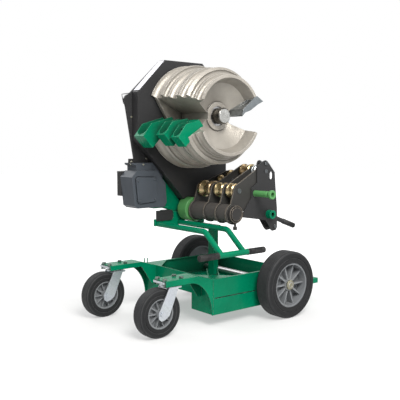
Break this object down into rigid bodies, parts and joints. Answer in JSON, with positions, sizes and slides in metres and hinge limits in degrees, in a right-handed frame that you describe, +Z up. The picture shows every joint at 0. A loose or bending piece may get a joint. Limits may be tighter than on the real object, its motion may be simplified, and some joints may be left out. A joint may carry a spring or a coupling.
{
  "type": "conduit bender",
  "caption": "Electric conduit bender on a wheeled cart, with a grooved shoe on a tilting powered head, a swinging roller support and a tray on casters.",
  "frame": {"origin": "on the floor in the middle of the footprint", "axes": "+Z up, +X towards the rear axle's end of the cart, the shoe faces -Y"},
  "size_m": [1.0452, 0.7234, 1.164],
  "materials": {
    "green_paint": "gloss powder coat",
    "light_green_paint": "gloss paint",
    "black_paint": "satin powder coat",
    "slate_paint": "satin paint",
    "shoe_casting": "fine cast surface with a pale coating",
    "zinc": "bright zinc plating",
    "steel": "ground",
    "bright_steel": "polished",
    "gold_zinc": "yellow zinc plating",
    "hub_plastic": "moulded",
    "tyre_rubber": "moulded rubber",
    "grip_rubber": "ribbed rubber",
    "black_plastic": "moulded"
  },
  "bodies": {
    "cart": {"tray": "green_paint", "arm_near": "green_paint", "arm_far": "green_paint", "brace": "green_paint", "post": "green_paint", "tilt_shaft": "steel", "rear_bar": "green_paint", "axle": "steel", "axle_caps": "zinc", "caster_plates": "zinc", "caster_bolts": "zinc"},
    "wheel_near": {"tyre_near": "tyre_rubber", "hub_near": "hub_plastic"},
    "wheel_far": {"tyre_far": "tyre_rubber", "hub_far": "hub_plastic"},
    "caster_near": {"fork_near": "zinc"},
    "caster_wheel_near": {"caster_tyre_near": "tyre_rubber", "caster_rim_near": "hub_plastic"},
    "caster_far": {"fork_far": "zinc"},
    "caster_wheel_far": {"caster_tyre_far": "tyre_rubber", "caster_rim_far": "hub_plastic"},
    "head": {"panel": "black_paint", "back_plate": "black_paint", "bearing_housing": "black_paint", "spindle_bearings": "steel", "reducer": "slate_paint", "reducer_cover": "slate_paint", "motor_flange": "black_paint", "motor": "black_paint", "tilt_frame": "green_paint", "cross_plate": "black_paint", "hub_disc": "light_green_paint", "handle_frame": "green_paint", "handle_grips": "grip_rubber", "drum_shaft": "steel", "drum_collar": "black_plastic"},
    "shoe": {"shoe": "shoe_casting", "spindle": "bright_steel", "spindle_collar": "steel", "green_hook": "green_paint", "steel_hook": "zinc", "bull_gear": "steel"},
    "pinion": {"pinion": "steel"},
    "support": {"drum": "black_paint", "arm_plates": "black_paint", "side_plate_front": "black_paint", "side_plate_rear": "black_paint", "spacers": "zinc", "roller_axles": "zinc", "hand_rod": "light_green_paint"},
    "lever": {"cross_tube": "green_paint", "lever": "black_paint"},
    "roller_left": {"roller_left": "gold_zinc"},
    "roller_left_mid": {"roller_left_mid": "gold_zinc"},
    "roller_left_front": {"roller_left_front": "gold_zinc"},
    "roller_small": {"roller_small": "gold_zinc"},
    "roller_right": {"roller_right": "gold_zinc"},
    "roller_right_mid": {"roller_right_mid": "gold_zinc"},
    "roller_right_front": {"roller_right_front": "zinc"}
  },
  "joints": [
    {"name": "wheel_near_spin", "type": "hinge", "parent": "cart", "child": "wheel_near", "pos_m": [0.22, -0.3217, 0.1524], "axis": [0, 1, 0], "continuous": true},
    {"name": "wheel_far_spin", "type": "hinge", "parent": "cart", "child": "wheel_far", "pos_m": [0.22, 0.3217, 0.1524], "axis": [0, 1, 0], "continuous": true},
    {"name": "caster_near_swivel", "type": "hinge", "parent": "cart", "child": "caster_near", "pos_m": [-0.357, -0.2126, 0.216], "axis": [0, 0, 1], "continuous": true},
    {"name": "caster_near_spin", "type": "hinge", "parent": "caster_near", "child": "caster_wheel_near", "pos_m": [-0.42, -0.2126, 0.1026], "axis": [0, 1, 0], "continuous": true},
    {"name": "caster_far_swivel", "type": "hinge", "parent": "cart", "child": "caster_far", "pos_m": [-0.357, 0.2126, 0.216], "axis": [0, 0, 1], "continuous": true},
    {"name": "caster_far_spin", "type": "hinge", "parent": "caster_far", "child": "caster_wheel_far", "pos_m": [-0.42, 0.2126, 0.1026], "axis": [0, 1, 0], "continuous": true},
    {"name": "head_tilt", "type": "hinge", "parent": "cart", "child": "head", "pos_m": [-0.03, 0.135, 0.455], "axis": [-1, 0, 0], "range_deg": [0, 45]},
    {"name": "shoe_turn", "type": "hinge", "parent": "head", "child": "shoe", "pos_m": [-0.038, 0, 0.91], "axis": [0, 1, 0], "range_deg": [0, 180]},
    {"name": "pinion_turn", "type": "hinge", "parent": "head", "child": "pinion", "pos_m": [-0.1505, 0.09, 0.71514], "axis": [0, 1, 0], "range_deg": [-720, 0]},
    {"name": "support_swing", "type": "hinge", "parent": "head", "child": "support", "pos_m": [-0.032, 0, 0.483], "axis": [0, 1, 0], "range_deg": [0, 20]},
    {"name": "lever_swing", "type": "hinge", "parent": "support", "child": "lever", "pos_m": [0.177, -0.23, 0.469], "axis": [0, -1, 0], "range_deg": [0, 60]},
    {"name": "roller_left_spin", "type": "hinge", "parent": "support", "child": "roller_left", "pos_m": [-0.001, -0.12, 0.582], "axis": [0, 1, 0], "continuous": true},
    {"name": "roller_left_mid_spin", "type": "hinge", "parent": "support", "child": "roller_left_mid", "pos_m": [-0.001, -0.12, 0.582], "axis": [0, 1, 0], "continuous": true},
    {"name": "roller_left_front_spin", "type": "hinge", "parent": "support", "child": "roller_left_front", "pos_m": [-0.001, -0.12, 0.582], "axis": [0, 1, 0], "continuous": true},
    {"name": "roller_small_spin", "type": "hinge", "parent": "support", "child": "roller_small", "pos_m": [0.097, -0.12, 0.619], "axis": [0, 1, 0], "continuous": true},
    {"name": "roller_right_spin", "type": "hinge", "parent": "support", "child": "roller_right", "pos_m": [0.158, -0.12, 0.6365], "axis": [0, 1, 0], "continuous": true},
    {"name": "roller_right_mid_spin", "type": "hinge", "parent": "support", "child": "roller_right_mid", "pos_m": [0.158, -0.12, 0.664], "axis": [0, 1, 0], "continuous": true},
    {"name": "roller_right_front_spin", "type": "hinge", "parent": "support", "child": "roller_right_front", "pos_m": [0.158, -0.12, 0.664], "axis": [0, 1, 0], "continuous": true}
  ],
  "couplings": [
    {"joint": "pinion_turn", "follows": "shoe_turn", "ratio": -4}
  ]
}
